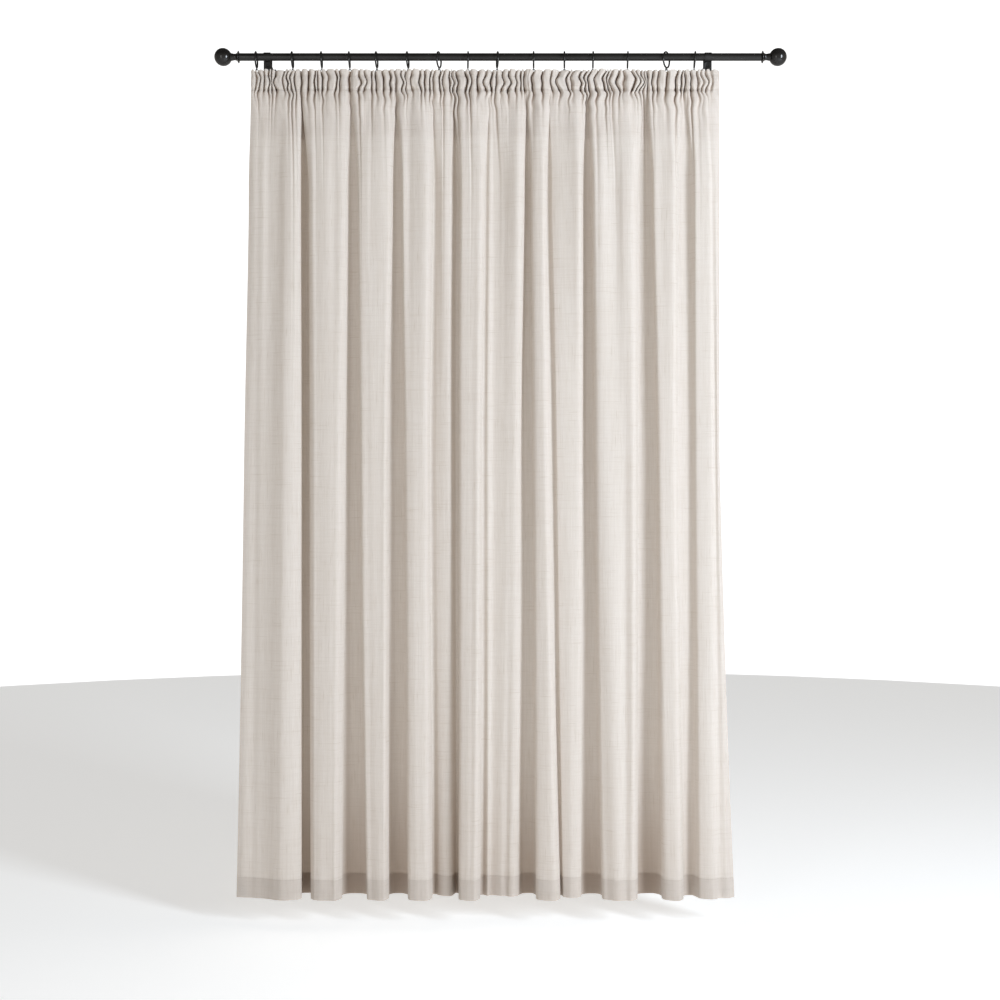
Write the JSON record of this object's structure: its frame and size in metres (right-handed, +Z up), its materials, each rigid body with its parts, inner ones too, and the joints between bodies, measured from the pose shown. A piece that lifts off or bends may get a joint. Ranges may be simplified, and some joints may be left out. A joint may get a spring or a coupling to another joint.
{
  "type": "curtain panel",
  "caption": "Pencil-pleat linen curtain panel hooked to rings that slide along a round metal pole on two wall brackets with ball finials.",
  "frame": {"origin": "on the wall plane, half way between the two wall plates, at the height of the pole's axis", "axes": "+Z up, +X along the pole towards the leading end, +Y into the wall, so the panel's face looks along -Y"},
  "size_m": [1.6892, 0.133, 2.5047],
  "materials": {
    "black_metal": "satin",
    "hook_wire": "satin",
    "linen": "matt slubbed plain weave",
    "tape": "matt woven",
    "tape_cord": "matt braided",
    "weight": "dull"
  },
  "bodies": {
    "root": {"pole_tube": "black_metal", "finial_left": "black_metal", "finial_right": "black_metal", "wall_bracket_left": "black_metal", "wall_bracket_right": "black_metal", "pole_collar_left": "black_metal", "pole_collar_right": "black_metal", "collar_screw_left": "black_metal", "collar_screw_right": "black_metal"},
    "panel": {"fabric_width_left": "linen", "fabric_width_right": "linen", "heading_tape": "tape", "tape_cord_upper": "tape_cord", "tape_cord_lower": "tape_cord", "hem_weight_left": "weight", "hem_weight_seam": "weight", "hem_weight_right": "weight"},
    "ring_15": {"ring_15": "black_metal", "hook_15": "hook_wire"},
    "ring_01": {"ring_01": "black_metal", "hook_01": "hook_wire"},
    "ring_02": {"ring_02": "black_metal", "hook_02": "hook_wire"},
    "ring_03": {"ring_03": "black_metal", "hook_03": "hook_wire"},
    "ring_04": {"ring_04": "black_metal", "hook_04": "hook_wire"},
    "ring_05": {"ring_05": "black_metal", "hook_05": "hook_wire"},
    "ring_06": {"ring_06": "black_metal", "hook_06": "hook_wire"},
    "ring_07": {"ring_07": "black_metal", "hook_07": "hook_wire"},
    "ring_08": {"ring_08": "black_metal", "hook_08": "hook_wire"},
    "ring_09": {"ring_09": "black_metal", "hook_09": "hook_wire"},
    "ring_10": {"ring_10": "black_metal", "hook_10": "hook_wire"},
    "ring_11": {"ring_11": "black_metal", "hook_11": "hook_wire"},
    "ring_12": {"ring_12": "black_metal", "hook_12": "hook_wire"},
    "ring_13": {"ring_13": "black_metal", "hook_13": "hook_wire"},
    "ring_14": {"ring_14": "black_metal", "hook_14": "hook_wire"}
  },
  "joints": [
    {"name": "panel_swing", "type": "hinge", "parent": "root", "child": "panel", "pos_m": [0, -0.09, 0], "axis": [-1, 0, 0], "range_deg": [-1, 12]},
    {"name": "draw", "type": "slide", "parent": "panel", "child": "ring_15", "axis": [-1, 0, 0], "range_m": [0, 0.79], "deforming": ["fabric_width_left", "fabric_width_right", "heading_tape", "tape_cord_upper", "tape_cord_lower", "hem_weight_left", "hem_weight_seam", "hem_weight_right"]},
    {"name": "slide_01", "type": "slide", "parent": "panel", "child": "ring_01", "axis": [-1, 0, 0], "range_m": [-0.0116, 0]},
    {"name": "slide_02", "type": "slide", "parent": "panel", "child": "ring_02", "axis": [-1, 0, 0], "range_m": [0, 0.0557]},
    {"name": "slide_03", "type": "slide", "parent": "panel", "child": "ring_03", "axis": [-1, 0, 0], "range_m": [0, 0.1088]},
    {"name": "slide_04", "type": "slide", "parent": "panel", "child": "ring_04", "axis": [-1, 0, 0], "range_m": [0, 0.1601]},
    {"name": "slide_05", "type": "slide", "parent": "panel", "child": "ring_05", "axis": [-1, 0, 0], "range_m": [0, 0.2096]},
    {"name": "slide_06", "type": "slide", "parent": "panel", "child": "ring_06", "axis": [-1, 0, 0], "range_m": [0, 0.2668]},
    {"name": "slide_07", "type": "slide", "parent": "panel", "child": "ring_07", "axis": [-1, 0, 0], "range_m": [0, 0.3232]},
    {"name": "slide_08", "type": "slide", "parent": "panel", "child": "ring_08", "axis": [-1, 0, 0], "range_m": [0, 0.3761]},
    {"name": "slide_09", "type": "slide", "parent": "panel", "child": "ring_09", "axis": [-1, 0, 0], "range_m": [0, 0.43]},
    {"name": "slide_10", "type": "slide", "parent": "panel", "child": "ring_10", "axis": [-1, 0, 0], "range_m": [0, 0.4966]},
    {"name": "slide_11", "type": "slide", "parent": "panel", "child": "ring_11", "axis": [-1, 0, 0], "range_m": [0, 0.553]},
    {"name": "slide_12", "type": "slide", "parent": "panel", "child": "ring_12", "axis": [-1, 0, 0], "range_m": [0, 0.6051]},
    {"name": "slide_13", "type": "slide", "parent": "panel", "child": "ring_13", "axis": [-1, 0, 0], "range_m": [0, 0.6684]},
    {"name": "slide_14", "type": "slide", "parent": "panel", "child": "ring_14", "axis": [-1, 0, 0], "range_m": [0, 0.7392]}
  ],
  "couplings": [
    {"joint": "slide_01", "follows": "draw", "ratio": -0.0141},
    {"joint": "slide_02", "follows": "draw", "ratio": 0.0699},
    {"joint": "slide_03", "follows": "draw", "ratio": 0.1371},
    {"joint": "slide_04", "follows": "draw", "ratio": 0.202},
    {"joint": "slide_05", "follows": "draw", "ratio": 0.2647},
    {"joint": "slide_06", "follows": "draw", "ratio": 0.3371},
    {"joint": "slide_07", "follows": "draw", "ratio": 0.4085},
    {"joint": "slide_08", "follows": "draw", "ratio": 0.4755},
    {"joint": "slide_09", "follows": "draw", "ratio": 0.5437},
    {"joint": "slide_10", "follows": "draw", "ratio": 0.628},
    {"joint": "slide_11", "follows": "draw", "ratio": 0.6994},
    {"joint": "slide_12", "follows": "draw", "ratio": 0.7653},
    {"joint": "slide_13", "follows": "draw", "ratio": 0.8454},
    {"joint": "slide_14", "follows": "draw", "ratio": 0.9351}
  ]
}
